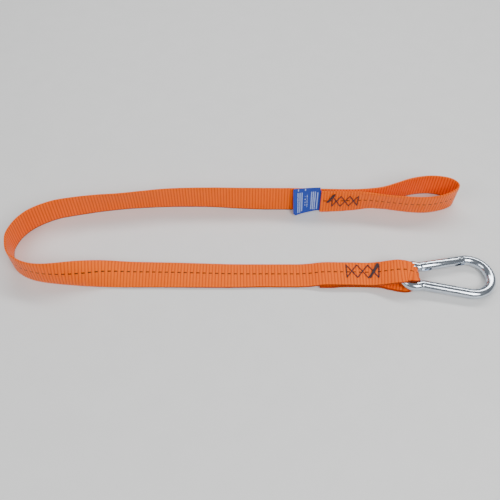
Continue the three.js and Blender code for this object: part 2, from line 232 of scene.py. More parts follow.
# Seams: start and length along the traced face, height, and how far they sit above the middle
HOOK_SEAM = {"from": 44.2, "length": 29.5, "height": 14.2, "above": 2.4}
LOOP_SEAM = {"from": 11.3, "length": 25.2, "height": 12.8, "above": 0.8}
SEAM_CROSSES = 3
THREAD = 0.41  # radius
STITCH = 2.9
THREAD_STEP = 0.42  # between the points of a strand
DENT_DEPTH = 0.26  # of the web under a tight thread
DENT_REACH = 0.8

LABEL_HEIGHT = 28.0
LABEL_THICKNESS = 0.5
LAP_GAP = 1.0
LAP_PITCH = 2.0 + LAP_GAP

# [x, y, roll]: 0 lies flat with the traced face up, 90 stands on edge with it outwards
RUN = [
    (HOOK_FLEX_X, NEAR_Y, 0), (26, -31, 0), (8, -31, 0), (-18, -31.5, 2), (-44, -31.5, 5),
    (-68, -31.5, 8), (-90, -31.5, 10), (-111, -32, 15), (-132, -33.2, 30), (-152, -36, 56),
    (-171, -37.5, 77), (-189, -36.5, 88), (-205, -31.5, 91), (-217, -22, 92), (-222.5, -9, 92),
    (-223.8, 2, 91), (-219.5, 16, 91), (-209, 29, 92), (-191, 39.5, 91), (-172, 44.5, 90),
    (-150, 48.8, 87), (-128, 51.8, 84), (-106, 54.2, 86), (-84, 55.9, 90), (-60, 56.7, 92),
    (-36, 56.6, 94), (-12, 55.5, 98), (14, 54.8, 101), (LOOP_FLEX_X, 54.7, 101),
]
LOOP = [
    (LOOP_FLEX_X, 54.7, 101), (56, 54.4, 100), (74, 54.1, 98), (92, 54.4, 94), (106, 55.2, 91),
    (118, 56.7, 89), (131, 59.3, 88), (145, 65, 87), (158, 70.4, 87), (170, 73.5, 87),
    (181, 74.4, 88), (192, 73, 89), (200, 69.6, 91), (204.6, 63.6, 92), (202.6, 57.6, 93),
    (195, 52.4, 95), (185, 48.6, 97), (173, 46.6, 98), (160, 46.9, 99), (146, 48.6, 101),
    (132, 50.8, 102), (118, 52.4, 98), (106, 55.2 - LAP_PITCH, 90), (92, 54.4 - LAP_PITCH, 86),
    (74, 54.1 - LAP_PITCH, 82), (69, 54.1 - LAP_PITCH, 82),
]
# The hook eye, from the cut end of its lower layer round to the run: [x, y, z, width]
EYE = [
    (HOOK_TAIL_X, -31.6, 1.0, 25), (74, -31.6, 1.2, 25), (84, -31.5, 2.1, 25),
    (101, -31.6, 2.1, 25),
    (118, -32.2, 2.0, 25), (127, -34, 1.2, 25), (136, -36.2, 1.0, 24.6), (142, -37.4, 1.0, 23),
    (147.5, -36.2, 1.2, 16), (150.6, -35.4, 3.0, 11.6), (152.0, -35.0, 5.8, 9.8),
    (151.6, -35.0, 8.6, 9.8), (150.2, -36.2, 11.4, 12.6), (147, -36.9, 12.9, 17.2),
    (141.5, -35.2, 13.5, 22.8), (134, -34.8, 13.3, 25), (127, -34.2, 11.2, 25),
    (118, -33, 7.4, 25), (108, -31.8, 4.6, 25), (96, -31.3, 4.4, 25), (82, -31.1, 4.4, 25),
    (72, -31, 4.4, 25), (64, -31, 3.8, 25), (54, -31, 1.9, 25), (HOOK_FLEX_X, -31, 1.0, 25),
]
LABEL = [
    (82, 83.2), (74, 82), (69, 82), (62, 79), (52, 73), (43.5, 67),
]
LABEL_Y = [52.88, 52.88, 52.88, 52.2, 50.6, 49.3]


def point(x, y, z):
    """A place in the layout, in the frame's metres."""
    return Vector(((x - MIDDLE[0]) * MM, (y - MIDDLE[1]) * MM, z * MM))


# Ribbon geometry -------------------------------------------------------------------------------

def smooth_rows(rows, step):
    """A smooth curve through rows of numbers, sampled about every step."""
    rows = np.array(rows, float)
    out = []
    for i in range(len(rows) - 1):
        a, b = rows[max(i - 1, 0)], rows[i]
        c, d = rows[i + 1], rows[min(i + 2, len(rows) - 1)]
        count = max(1, int(round(np.hypot(*(c[:2] - b[:2])) / step)))
        t = (np.arange(count) / count)[:, None]
        out.append(b + 0.5 * t * (c - a + t * (2 * a - 5 * b + 4 * c - d
                                               + t * (3 * (b - c) + d - a))))
    out.append(rows[-1:])
    return np.vstack(out)


def unit(v):
    return v / np.linalg.norm(v, axis=1)[:, None]


def frames(centres, sides):
    """Tangent, side across and normal at each centre. The normal leaves the traced face."""
    along = unit(np.gradient(centres, axis=0))
    normal = unit(np.cross(sides, along))
    return along, np.cross(along, normal), normal


def section(share, half, bow):
    """Across and up of a place on the bowed middle line of the web's section, and the slope there.
    share is -1 to 1 across it, and bow is the slope at its edges."""
    slope = bow * share
    radius = half / np.maximum(bow, 1e-3)
    flat = bow < 1e-3
    across = np.where(flat, share * half, radius * np.sin(slope))
    up = np.where(flat, 0, radius * (np.cos(slope) - 0.5 - 0.5 * np.cos(bow)))
    return across, up, slope


def standing(rows, width, thickness, foot=0.0, step=1.0, bowed=0.0):
    """Centres, sides and bows of a ribbon that lies on its lower edge along [x, y, roll] rows.
    It bows most where it is halfway from lying flat to standing on edge."""
    rows = smooth_rows(rows, step)
    roll = np.radians(rows[:, 2])
    bow = bowed * np.clip(np.sin(np.clip(2 * roll, 0, math.pi)), 0, 1) ** 0.8
    centres = np.column_stack([rows[:, :2], np.zeros(len(rows))])
    for _ in range(4):
        along = unit(np.gradient(centres, axis=0))
        inward = unit(np.column_stack([along[:, 1], -along[:, 0], np.zeros(len(rows))]))
        sides = inward * np.cos(roll)[:, None]
        sides[:, 2] = np.sin(roll)
        _, side, normal = frames(centres, sides)
        low = np.full(len(rows), np.inf)
        for share in np.linspace(-1, 1, 9):
            across, up, slope = section(share, width / 2, bow)
            tilt = np.abs(normal[:, 2] * np.cos(slope) + side[:, 2] * np.sin(slope))
            low = np.minimum(low, side[:, 2] * across + normal[:, 2] * up
                             - 0.5 * thickness * tilt)
        centres[:, 2] = foot - low
    return centres, sides, bow


def whole_web():
    """Every station of the web from the hook's cut end to the loop's, a fraction of a rib apart."""
    eye = smooth_rows(EYE, 0.8)
    parts = [(eye[:, :3], np.tile([0.0, 1.0, 0.0], (len(eye), 1)), eye[:, 3], 0 * eye[:, 3])]
    for rows, bowed in ((RUN, WEB_BOW), (LOOP, 0.0)):
        centres, sides, bow = standing(rows, WEB_WIDTH, 2.0, bowed=bowed)
        parts.append((centres[1:], sides[1:], np.full(len(centres) - 1, WEB_WIDTH), bow[1:]))
    centres, sides, widths, bows = (np.concatenate([p[i] for p in parts]) for i in range(4))
    gone = np.concatenate([[0], np.cumsum(np.linalg.norm(np.diff(centres, axis=0), axis=1))])
    count = int(gone[-1] / RIB_PITCH) * RINGS_PER_RIB
    at = np.arange(count + 1) * RIB_PITCH / RINGS_PER_RIB
    pick = lambda values: np.column_stack([np.interp(at, gone, v) for v in values.T])
    centres, sides = pick(centres), pick(sides)
    along, side, normal = frames(centres, sides)
    return {"at": at, "centre": centres, "side": side, "normal": normal,
            "width": np.interp(at, gone, widths), "bow": np.interp(at, gone, bows)}


WEB = whole_web()
LENGTH = WEB["at"][-1]


def station_near(x, y, first, last):
    """Index of the station between two distances that lies nearest a place in plan."""
    keep = (WEB["at"] >= first) & (WEB["at"] <= last)
    off = np.hypot(WEB["centre"][:, 0] - x, WEB["centre"][:, 1] - y)
    return int(np.argmin(np.where(keep, off, 1e9)))


def on_rib(index):
    """The nearest groove between two ribs, where a cut is hidden."""
    return int(round(index / RINGS_PER_RIB)) * RINGS_PER_RIB


FLEX = WEB["at"][station_near(HOOK_FLEX_X, NEAR_Y, 160, 240)]
EYE_TOP_CUT = on_rib(station_near(112, NEAR_Y, 90, FLEX))
TURN_CUT = on_rib(station_near(-223.8, 2, 200, LENGTH))


def seam_starts():
    """[start, towards, seam] for the four stretches of traced face that carry thread."""
    hook_top = FLEX - HOOK_SEAM["from"]
    lower = HOOK_FLEX_X + HOOK_SEAM["from"] - HOOK_TAIL_X
    loop_front = LENGTH - LOOP_SEAM["from"]
    back = station_near(69 + LOOP_SEAM["from"], 54, FLEX + 500, LENGTH - 200)
    return {
        "hook_top": (hook_top, -1, HOOK_SEAM), "hook_under": (lower, 1, HOOK_SEAM),
        "loop_front": (loop_front, -1, LOOP_SEAM), "loop_back": (WEB["at"][back], 1, LOOP_SEAM),
    }


SEAMS = seam_starts()


def seam_strokes(seam):
    """The crossed zigzag and its end strokes, as pairs of (distance into the seam, across)."""
    pitch = seam["length"] / SEAM_CROSSES
    low, high = seam["above"] - seam["height"] / 2, seam["above"] + seam["height"] / 2
    strokes = []
    for i in range(SEAM_CROSSES):
        near, far = i * pitch, (i + 1) * pitch
        ends = (low, high) if i % 2 == 0 else (high, low)
        strokes.append(((near, ends[0]), (far, ends[1])))
    for i in reversed(range(SEAM_CROSSES)):
        near, far = i * pitch, (i + 1) * pitch
        ends = (high, low) if i % 2 == 0 else (low, high)
        strokes.append(((far, ends[1]), (near, ends[0])))
    last = (high, low) if SEAM_CROSSES % 2 else (low, high)
    strokes.insert(SEAM_CROSSES, ((seam["length"], last[0]), (seam["length"], last[1])))
    strokes.append(((0.0, high), (0.0, low)))
    return strokes


def seam_dent(at, across):
    """How far the tight thread pulls the traced face in, at a distance along and a height."""
    depth = np.zeros(np.broadcast(at, across).shape)
    for start, way, seam in SEAMS.values():
        local = (at - start) * way
        near = (local > -3) & (local < seam["length"] + 3)
        if not near.any():
            continue
        for (d0, q0), (d1, q1) in seam_strokes(seam):
            run = np.array([d1 - d0, q1 - q0])
            t = np.clip(((local - d0) * run[0] + (across - q0) * run[1]) / (run @ run), 0, 1)
            off = np.hypot(local - d0 - t * run[0], across - q0 - t * run[1])
            dent = DENT_DEPTH * np.exp(-(off / DENT_REACH) ** 2)
            depth = np.maximum(depth, np.where(near, dent, 0))
    return depth


def tube_quads(rows, ring):
    """The faces between neighbouring rings of places."""
    return [(i * ring + j, i * ring + (j + 1) % ring, (i + 1) * ring + (j + 1) % ring,
             (i + 1) * ring + j) for i in range(rows - 1) for j in range(ring)]


def in_frame(places):
    """An array of places in the layout, in the frame's metres."""
    return ((places - np.array([*MIDDLE, 0])) * MM).reshape(-1, 3).tolist()


def link(name, data):
    """A new object for a mesh or a curve, at the origin."""
    piece = bpy.data.objects.new(name, data)
    bpy.context.scene.collection.objects.link(piece)
    return piece


def ribbon(name, first, last):
    """A closed length of ribbed web between two stations, with its own UV map: u counts ribs, and
    v is 0 to 1 on the traced face, 1 to 2 round a selvedge, 2 to 3 on the plain face, 3 to 4 round
    the other selvedge."""
    at = WEB["at"][first:last + 1][:, None]
    half = WEB["width"][first:last + 1][:, None] / 2
    crest = np.abs(np.sin(np.pi * at / RIB_PITCH)) ** RIB_FULLNESS
    gather = np.clip(1 - half * 2 / WEB_WIDTH, 0, 1)
    rib = RIB_HEIGHT * (crest - RIB_MIDDLE) * (1 - RIB_SOFTENED * gather)
    thick = WEB_THICKNESS / 2 - RIB_FLOOR + rib
    bow = WEB["bow"][first:last + 1][:, None]
    lateral, height, v = [], [], []

    def add(share, out, up):
        """A place off the middle line: out past its selvedge, and up from its face."""
        across, rise, slope = section(share, half, bow)
        fold = gather * FOLD_HEIGHT * np.cos(1.5 * math.pi * share)
        lateral.append(across + out * np.cos(slope) + up * np.sin(slope))
        height.append(rise + fold + up * np.cos(slope) - out * np.sin(slope))

    shares = np.linspace(-1, 1, ACROSS + 1)
    for face, order in ((1, shares), (-1, shares[::-1])):
        for k, share in enumerate(order):
            dent = seam_dent(at[:, 0], share * WEB_WIDTH / 2)[:, None] if face > 0 else 0
            thinned = thick * (1 - SELVEDGE_THINNING * abs(share) ** 8)
            add(share, 0, face * (thinned - dent))
            v.append((0 if face > 0 else 2) + k / ACROSS)
        for k in range(1, ROUND + 1):
            turn = math.pi * k / (ROUND + 1)
            edge = thick * (1 - SELVEDGE_THINNING)
            add(face, face * SELVEDGE_BULGE * math.sin(turn), face * edge * math.cos(turn))
            v.append((1 if face > 0 else 3) + k / (ROUND + 1))
    lateral, height = np.hstack(lateral), np.hstack(height)
    ring = lateral.shape[1]
    centre, side, normal = (
        WEB[key][first:last + 1][:, None, :] for key in ("centre", "side", "normal"))
    places = centre + side * lateral[:, :, None] + normal * height[:, :, None]
    rows = len(at)
    caps = [tuple(reversed(range(ring))), tuple((rows - 1) * ring + j for j in range(ring))]
    mesh = bpy.data.meshes.new(name)
    mesh.from_pydata(in_frame(places), [], tube_quads(rows, ring) + caps)
    v_end = v[1:] + [4.0]
    u = (at[:, 0] / RIB_PITCH).tolist()
    uv = []
    for i in range(rows - 1):
        for j in range(ring):
            uv += [u[i], v[j], u[i], v_end[j], u[i + 1], v_end[j], u[i + 1], v[j]]
    for i, order in ((0, reversed(range(ring))), (rows - 1, range(ring))):
        for j in order:
            uv += [u[i], v[j]]
    mesh.uv_layers.new(name="Ribs").data.foreach_set("uv", uv)
    mesh.validate()
    piece = link(name, mesh)
    face_out(piece)
    smooth(piece, 50)
    return piece


# Modelling helpers -----------------------------------------------------------------------------

def only(piece):
    """Selects one object alone and makes it active."""
    if bpy.context.object and bpy.context.object.mode != "OBJECT":
        bpy.ops.object.mode_set(mode="OBJECT")
    bpy.ops.object.select_all(action="DESELECT")
    piece.select_set(True)
    bpy.context.view_layer.objects.active = piece


def face_out(piece):
    only(piece)
    bpy.ops.object.mode_set(mode="EDIT")
    bpy.ops.mesh.select_all(action="SELECT")
    bpy.ops.mesh.remove_doubles(threshold=1e-7)
    bpy.ops.mesh.normals_make_consistent(inside=False)
    bpy.ops.object.mode_set(mode="OBJECT")


def smooth(piece, degrees=35):
    only(piece)
    bpy.ops.object.shade_smooth_by_angle(angle=math.radians(degrees))


def select_faces(piece, wanted):
    """In edit mode, selects only the faces that wanted(centre, normal) picks."""
    bpy.ops.mesh.select_mode(type="FACE")
    bpy.ops.mesh.select_all(action="DESELECT")
    bpy.ops.object.mode_set(mode="OBJECT")
    for face in piece.data.polygons:
        face.select = bool(wanted(face.center, face.normal))
    bpy.ops.object.mode_set(mode="EDIT")


def modify(piece, kind, **settings):
    """Adds a modifier and applies it."""
    only(piece)
    modifier = piece.modifiers.new(kind, kind)
    for key, value in settings.items():
        setattr(modifier, key, value)
    bpy.ops.object.modifier_apply(modifier=modifier.name)


def cut_with(piece, tool, operation="DIFFERENCE"):
    modify(piece, "BOOLEAN", object=tool, operation=operation, solver="EXACT")
    bpy.data.objects.remove(tool)


def block(name, low, high, bevel=0.0, segments=2):
    """A cuboid between two corners, in millimetres, with its edges rounded."""
    bpy.ops.mesh.primitive_cube_add(size=1)
    piece = bpy.context.object
    piece.name = name
    low, high = Vector(low) * MM, Vector(high) * MM
    size = high - low
    piece.data.transform(Matrix.Translation((low + high) / 2)
                         @ Matrix.Diagonal((size.x, size.y, size.z, 1)))
    if bevel:
        modify(piece, "BEVEL", width=bevel * MM, segments=segments, limit_method="NONE")
    return piece


def rod(name, radius, start, end, sides=32, bevel=0.0, segments=3):
    """A round bar between two places, in millimetres, with its ends rounded."""
    start, end = Vector(start) * MM, Vector(end) * MM
    bpy.ops.mesh.primitive_cylinder_add(
        radius=radius * MM, depth=(end - start).length, vertices=sides)
    piece = bpy.context.object
    piece.name = name
    turn = Vector((0, 0, 1)).rotation_difference(end - start).to_matrix().to_4x4()
    piece.data.transform(Matrix.Translation((start + end) / 2) @ turn)
    if bevel:
        modify(piece, "BEVEL", width=bevel * MM, segments=segments, limit_method="ANGLE",
               angle_limit=math.radians(60))
    return piece


def place(piece, matrix):
    """Moves the mesh to its place, and leaves the object at the origin."""
    piece.data.transform(matrix)
    piece.matrix_world = Matrix.Identity(4)
    return piece


# Thread ----------------------------------------------------------------------------------------

def on_face(at, across, lift):
    """A place on the traced face, lifted clear of it by lift millimetres."""
    i = min(max(int(at / LENGTH * (len(WEB["at"]) - 1)), 0), len(WEB["at"]) - 2)
    t = min(max((at - WEB["at"][i]) / (WEB["at"][i + 1] - WEB["at"][i]), 0), 1)
    mix = lambda key: WEB[key][i] * (1 - t) + WEB[key][i + 1] * t
    where = mix("centre") + mix("side") * across + mix("normal") * (WEB_THICKNESS / 2 + lift)
    return point(*where)


def stitched(start, way, seam, jitter):
    """The places of one sewn pass. The thread dips into the web at the end of each stitch."""
    places, gone = [], 0.0
    for (d0, q0), (d1, q1) in seam_strokes(seam):
        length = math.hypot(d1 - d0, q1 - q0)
        steps = int(length / THREAD_STEP)
        shift = (dice.uniform(-jitter, jitter), dice.uniform(-jitter, jitter))
        for k in range(steps):
            t = k / steps
            rise = abs(math.sin(math.pi * (gone + t * length) / STITCH)) ** 0.5
            places.append(on_face(start + way * (d0 + (d1 - d0) * t + shift[0]),
                                  q0 + (q1 - q0) * t + shift[1], -0.5 + 0.8 * rise))
        gone += length
    return places


def back_stitching(start, way, seam, lock, count):
    """The dense leaning strokes where the machine locks the seam. lock holds their lower and upper
    ends, as distances into the seam and heights above its middle."""
    places = []
    for k in range(count):
        ends = [(d + dice.uniform(-1.15, 1.15), seam["above"] + q + dice.uniform(-1.5, 1.1))
                for d, q in lock]
        if k % 2:
            ends.reverse()
        low, high = ends
        for step in range(16):
            t = step / 16
            rise = abs(math.sin(math.pi * (t * 4 + k * 0.37))) ** 0.5
            places.append(on_face(start + way * (low[0] + (high[0] - low[0]) * t),
                                  low[1] + (high[1] - low[1]) * t,
                                  -0.3 + 0.6 * rise + 0.045 * k))
    return places


def strand(name, radius, runs):
    """Round wire or thread along each run of places, with closed ends."""
    curve = bpy.data.curves.new(name, "CURVE")
    curve.dimensions = "3D"
    curve.bevel_depth = radius * MM
    curve.bevel_resolution = 2
    curve.use_fill_caps = True
    for places in runs:
        spline = curve.splines.new("POLY")
        spline.points.add(len(places) - 1)
        spline.points.foreach_set("co", [c for p in places for c in (*p, 1.0)])
    only(link(name, curve))
    bpy.ops.object.convert(target="MESH")
    piece = bpy.context.object
    piece.name = name
    return piece


def seam_threads(material):
    plans = [
        ("hook_seam_top", "hook_top", "hook_seam_needle_thread", "hook_eye",
         ((7.8, -6.2), (1.0, 7.6)), 16),
        ("hook_seam_under", "hook_under", "hook_seam_bobbin_thread", "hook_eye",
         ((21.8, -6.0), (29.0, 7.4)), 5),
        ("loop_seam_front", "loop_front", "loop_seam_needle_thread", "hand_loop",
         ((-4.2, -0.4), (1.2, 8.2)), 17),
        ("loop_seam_back", "loop_back", "loop_seam_bobbin_thread", "hand_loop",
         ((-3.8, -0.6), (1.4, 8.0)), 5),
    ]
    for name, key, node, body, lock, count in plans:
        start, way, seam = SEAMS[key]
        if key == "hook_top":
            lock = tuple((seam["length"] - d, q) for d, q in lock)
        runs = [stitched(start, way, seam, 0.05), stitched(start, way, seam, 0.32),
                back_stitching(start, way, seam, lock, count)]
        piece = strand(name, THREAD, runs)
        piece.data.materials.clear()
        piece.data.materials.append(material)
        smooth(piece, 60)
        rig.replaces(piece, node)
        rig.ride(piece, body)
        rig.slot(piece, "thread")


# Label -----------------------------------------------------------------------------------------

def label_piece(material):
    """A woven label that leaves the lap and stands off the web, with a turned hem at its free end.
    u runs from the tucked end to the free end, v up its height."""
    rows = [(x, y, roll) for (x, roll), y in zip(LABEL, LABEL_Y)]
    centres, sides, _ = standing(rows, LABEL_HEIGHT, LABEL_THICKNESS, 0.5, 0.5)
    along, side, normal = frames(centres, sides)
    high, ring = 28, []
    half = LABEL_THICKNESS / 2
    gone = np.concatenate([[0], np.cumsum(np.linalg.norm(np.diff(centres, axis=0), axis=1))])
    share = gone / gone[-1]
    hem = half + 0.28 * np.clip((share - 0.93) / 0.02, 0, 1) * (share < 0.995)
    curl = 1.3 * np.clip((share - 0.72) / 0.28, 0, 1) ** 2
    places, v = [], []
    inside = np.clip((0.345 - share) / 0.012, 0, 1)
    for face in (1, -1):
        for k in range(high + 1):
            q = (k / high * 2 - 1) * face
            tuck = np.where(q > 0, inside * q * 4.2, 0)
            corner = 1 - 0.05 * np.clip((share - 0.97) / 0.03, 0, 1) ** 2 * abs(q) ** 6
            bow = curl * (0.35 + 0.65 * (0.5 - 0.5 * q))
            rounded = (2.2 if q < 0 else 0.4) * (max(abs(q) - 0.82, 0) / 0.18) ** 2
            past = share * (1.2 - 1.2 * q) - rounded * share ** 12
            places.append(centres + side * (q * LABEL_HEIGHT / 2 * corner - tuck)[:, None]
                          + normal * (face * hem + bow)[:, None] + along * past[:, None])
            v.append(q / 2 + 0.5)
    places = np.stack(places, axis=1)
    rows, ring = places.shape[:2]
    caps = [(j, j + 1, ring - 2 - j, ring - 1 - j) for j in range(high)]
    caps += [tuple(reversed([(rows - 1) * ring + c for c in cap])) for cap in caps]
    mesh = bpy.data.meshes.new("woven_label")
    mesh.from_pydata(in_frame(places), [], tube_quads(rows, ring) + caps)
    uv_at = {i * ring + j: (float(share[i]), v[j]) for i in range(rows) for j in range(ring)}
    layer = mesh.uv_layers.new(name="Label")
    layer.data.foreach_set("uv", [c for loop in mesh.loops for c in uv_at[loop.vertex_index]])
    piece = link("woven_label", mesh)
    face_out(piece)
    smooth(piece, 50)
    piece.data.materials.append(material)
    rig.replaces(piece, "label")
    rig.ride(piece, "hand_loop")
    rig.slot(piece, "label")
    return piece


# Hook ------------------------------------------------------------------------------------------

SMALL_CENTRE = WIRE + SMALL_BEND
LARGE_CENTRE = HOOK_LENGTH - WIRE - LARGE_BEND
SLOPE = math.asin((LARGE_BEND - SMALL_BEND + NECK) / (LARGE_CENTRE - SMALL_CENTRE))
TOUCH_U = LARGE_CENTRE - LARGE_BEND * math.sin(SLOPE)
TOUCH_V = LARGE_BEND * math.cos(SLOPE)
PIN_TO_PIN = (LATCH_PIN_U - GATE_PIN_U) / math.cos(SLOPE)
GATE_END = PIN_TO_PIN + WIRE * 0.9
LATCH_SLOT = PIN_TO_PIN - PIN_RADIUS - FIT_GAP - LATCH_LIP


def gate_line(u):
    return TOUCH_V + (u - TOUCH_U) * math.tan(SLOPE)


def hook_place():
    """From the hook's own plane (u, v, w in metres) to the frame."""
    tilt = math.asin((BAR_Z - WIRE) / (HOOK_LENGTH - 2 * WIRE))
    bar = point(HOOK_X + WIRE, HOOK_Y, BAR_Z)
    return (Matrix.Translation(bar) @ Matrix.Rotation(tilt, 4, "Y")
            @ Matrix.Translation((-WIRE * MM, 0, 0)))


def gate_place():
    """From the gate's own line (s along it from its hinge pin, r across) to the hook's plane."""
    return (Matrix.Translation((GATE_PIN_U * MM, gate_line(GATE_PIN_U) * MM, 0))
            @ Matrix.Rotation(SLOPE, 4, "Z"))


def bent_wire(name):
    """The hook's wire: a round face spun and extruded along its bends, from hinge to latch."""
    hinge_u = GATE_PIN_U - (WIRE + 0.4) * math.cos(SLOPE)
    start = Vector((hinge_u, gate_line(hinge_u), 0)) * MM
    neck = neck_radius(hinge_u)
    bpy.ops.mesh.primitive_circle_add(
        vertices=36, radius=WIRE * MM, fill_type="NGON", location=start,
        rotation=(0, -math.pi / 2, SLOPE))
    piece = bpy.context.object
    piece.name = name
    bpy.ops.object.transform_apply(location=True, rotation=True, scale=True)
    bpy.ops.object.mode_set(mode="EDIT")
    bpy.ops.mesh.select_all(action="SELECT")
    flip = Vector((1, -1, 1))
    neck_centre = start + Vector((-math.sin(SLOPE), math.cos(SLOPE), 0)) * neck * MM
    small = Vector((WIRE + SMALL_VISUAL, 0, 0)) * MM
    meet = math.atan2(neck_centre.y, neck_centre.x - small.x)
    neck_turn = (math.pi / 2 + SLOPE) - meet
    spin(neck_centre, -neck_turn, 8)
    spin(small, 2 * math.pi - 2 * meet, 44)
    spin(neck_centre * flip, -neck_turn, 8)
    far_start = Vector((TOUCH_U, -TOUCH_V, 0)) * MM
    near_end = start * flip
    for _ in range(6):
        bpy.ops.mesh.extrude_region_move(
            TRANSFORM_OT_translate={"value": (far_start - near_end) / 6})
    large = Vector((LARGE_CENTRE, 0, 0)) * MM
    latch_u = GATE_PIN_U + (GATE_END + 0.4) * math.cos(SLOPE)
    end_angle = math.acos((latch_u - LARGE_CENTRE) / LARGE_BEND)
    spin(large, math.pi / 2 + SLOPE + end_angle, 44)
    bpy.ops.object.mode_set(mode="OBJECT")
    face_out(piece)
    return piece


def spin(centre, angle, steps):
    """Sweeps the selected end face round a centre in the hook's plane."""
    bpy.ops.mesh.spin(steps=steps, angle=-angle, center=centre, axis=(0, 0, 1))


def neck_radius(u):
    """Radius of the short reverse bend that joins the gate's line to the small bend."""
    small = WIRE + SMALL_VISUAL
    x, y = u - small, gate_line(u)
    sine, cosine = math.sin(SLOPE), math.cos(SLOPE)
    return ((x * x + y * y - SMALL_VISUAL ** 2)
            / (2 * SMALL_VISUAL + 2 * x * sine - 2 * y * cosine))


def hook_body(material):
    piece = bent_wire("hook_wire")
    along = gate_place()
    room = rod("room", WIRE + 0.35, (0, 0, 0), (GATE_END + 0.35, 0, 0))
    cut_with(piece, place(room, along))
    pocket = rod("pocket", WIRE + 0.35, (0, 0, -PAST), (0, 0, PAST))
    cut_with(piece, place(pocket, along))
    modify(piece, "BEVEL", width=0.45 * MM, segments=2, limit_method="ANGLE",
           angle_limit=math.radians(55))
    tongue = block("tongue", (-WIRE - 3.5, -3, -PLATE / 2), (3, 3, PLATE / 2), 0.35)
    cut_with(piece, place(tongue, along), "UNION")
    nose = block("nose", (LATCH_SLOT + 0.5, -3.4, -PLATE / 2),
                 (GATE_END + 3.5, 3.4, PLATE / 2), 0.35)
    notch = block("notch", (PIN_TO_PIN - 1.5, -9, -4), (PIN_TO_PIN + 1.5, 1.5, 4))
    cut_with(nose, notch)
    cut_with(piece, place(nose, along), "UNION")
    hole = rod("hole", PIN_RADIUS + 0.15, (0, 0, -6), (0, 0, 6))
    cut_with(piece, place(hole, along))
    place(piece, hook_place())
    finish_steel(piece, material, "hook_body", "hook")
    return piece


def hook_gate(material):
    """The gate: a round bar, slotted at both ends, bored for its spring."""
    piece = rod("hook_gate", WIRE, (-WIRE, 0, 0), (GATE_END, 0, 0), 40)
    round_end = rod("round_end", WIRE - 0.02, (0, 0, -PAST), (0, 0, PAST), 40)
    front = block("front", (0, -WIRE - 2, -9), (GATE_END + 2, WIRE + 2, 9))
    cut_with(round_end, front, "UNION")
    cut_with(piece, round_end, "INTERSECT")
    for low, high in ((-9, 5.26), (LATCH_SLOT, GATE_END + 9)):
        cut_with(piece, block("slot", (low, -9, -PLATE / 2 - 0.3), (high, 9, PLATE / 2 + 0.3)))
    cut_with(piece, rod("bore", 2.3, (3, 0, 0), (LATCH_SLOT - 2, 0, 0)))
    modify(piece, "BEVEL", width=0.3 * MM, segments=2, limit_method="ANGLE",
           angle_limit=math.radians(50))
    place(piece, hook_place() @ gate_place())
    finish_steel(piece, material, "gate", "gate")
    return piece


def rivet(name, node, s, body, material):
    """A pin with a softly domed, hammered head at each face of the gate."""
    piece = rod(name, PIN_RADIUS, (s, 0, -WIRE - 0.15), (s, 0, WIRE + 0.15), 28, 0.35)
    only(piece)
    bpy.ops.object.mode_set(mode="EDIT")
    select_faces(piece, lambda centre, normal: abs(normal.z) > 0.9)
    bpy.ops.mesh.inset(thickness=0.35 * MM, use_individual=True)
    bpy.ops.mesh.inset(thickness=0.3 * MM, depth=-0.12 * MM, use_individual=True)
    bpy.ops.object.mode_set(mode="OBJECT")
    place(piece, hook_place() @ gate_place())
    finish_steel(piece, material, node, body)


def gate_plunger(material):
    piece = rod("spring_plunger", 2.0, (3.3, 0, 0), (9.3, 0, 0), 28, 0.5)
    only(piece)
    bpy.ops.object.mode_set(mode="EDIT")
    select_faces(piece, lambda centre, normal: normal.x > 0.9)
    bpy.ops.mesh.inset(thickness=0.5 * MM)
    bpy.ops.mesh.extrude_region_move(TRANSFORM_OT_translate={"value": (0.5 * MM, 0, 0)})
    bpy.ops.object.mode_set(mode="OBJECT")
    place(piece, hook_place() @ gate_place())
    finish_steel(piece, material, "gate_plunger", "plunger")


def gate_spring(material):
    """A coil spring whose turns lie a little further apart near its ends than in its middle."""
    start, end = 11.2, LATCH_SLOT - 2.6
    count = SPRING_TURNS * SPRING_SIDES
    places = []
    for i in range(count + 1):
        angle = 2 * math.pi * i / SPRING_SIDES
        t = i / count
        squeeze = t + 0.045 * math.sin(2 * math.pi * t)
        places.append(((start + (end - start) * squeeze) * MM,
                       SPRING_RADIUS * MM * math.cos(angle), SPRING_RADIUS * MM * math.sin(angle)))
    piece = strand("coil_spring", SPRING_WIRE, [places])
    place(piece, hook_place() @ gate_place())
    finish_steel(piece, material, "gate_spring", "gate", "spring_steel")


def finish_steel(piece, material, node, body, slot="zinc_steel"):
    smooth(piece, 35)
    piece.data.materials.clear()
    piece.data.materials.append(material)
    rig.replaces(piece, node)
    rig.ride(piece, body)
    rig.slot(piece, slot)


# Materials -------------------------------------------------------------------------------------

class Value:
    """A socket's value. Python's operators on it add Math nodes."""

    def __init__(self, finish, socket):
        self.finish = finish
        self.socket = socket

    def math(self, operation, *others):
        return self.finish.node("ShaderNodeMath", {"operation": operation},
                                dict(enumerate((self, *others))))

    def __add__(self, other):
        return self.math("ADD", other)

    def __sub__(self, other):
        return self.math("SUBTRACT", other)

    def __rsub__(self, other):
        return (self * -1) + other

    def __mul__(self, other):
        return self.math("MULTIPLY", other)

    def __truediv__(self, other):
        return self.math("DIVIDE", other)

    def __pow__(self, other):
        return self.math("POWER", other)

    def __mod__(self, other):
        return self.math("FLOORED_MODULO", other)

    def __lt__(self, other):
        return self.math("LESS_THAN", other)

    def __gt__(self, other):
        return self.math("GREATER_THAN", other)

    def __abs__(self):
        return self.math("ABSOLUTE")

    def sine(self):
        return self.math("SINE")

    def floor(self):
        return self.math("FLOOR")

    def clamped(self):
        return self.finish.node("ShaderNodeClamp", {}, {0: self})

    def between(self, low, high):
        """1 inside a range, 0 outside it."""
        return (self > low) * (self < high)

    __radd__ = __add__
    __rmul__ = __mul__


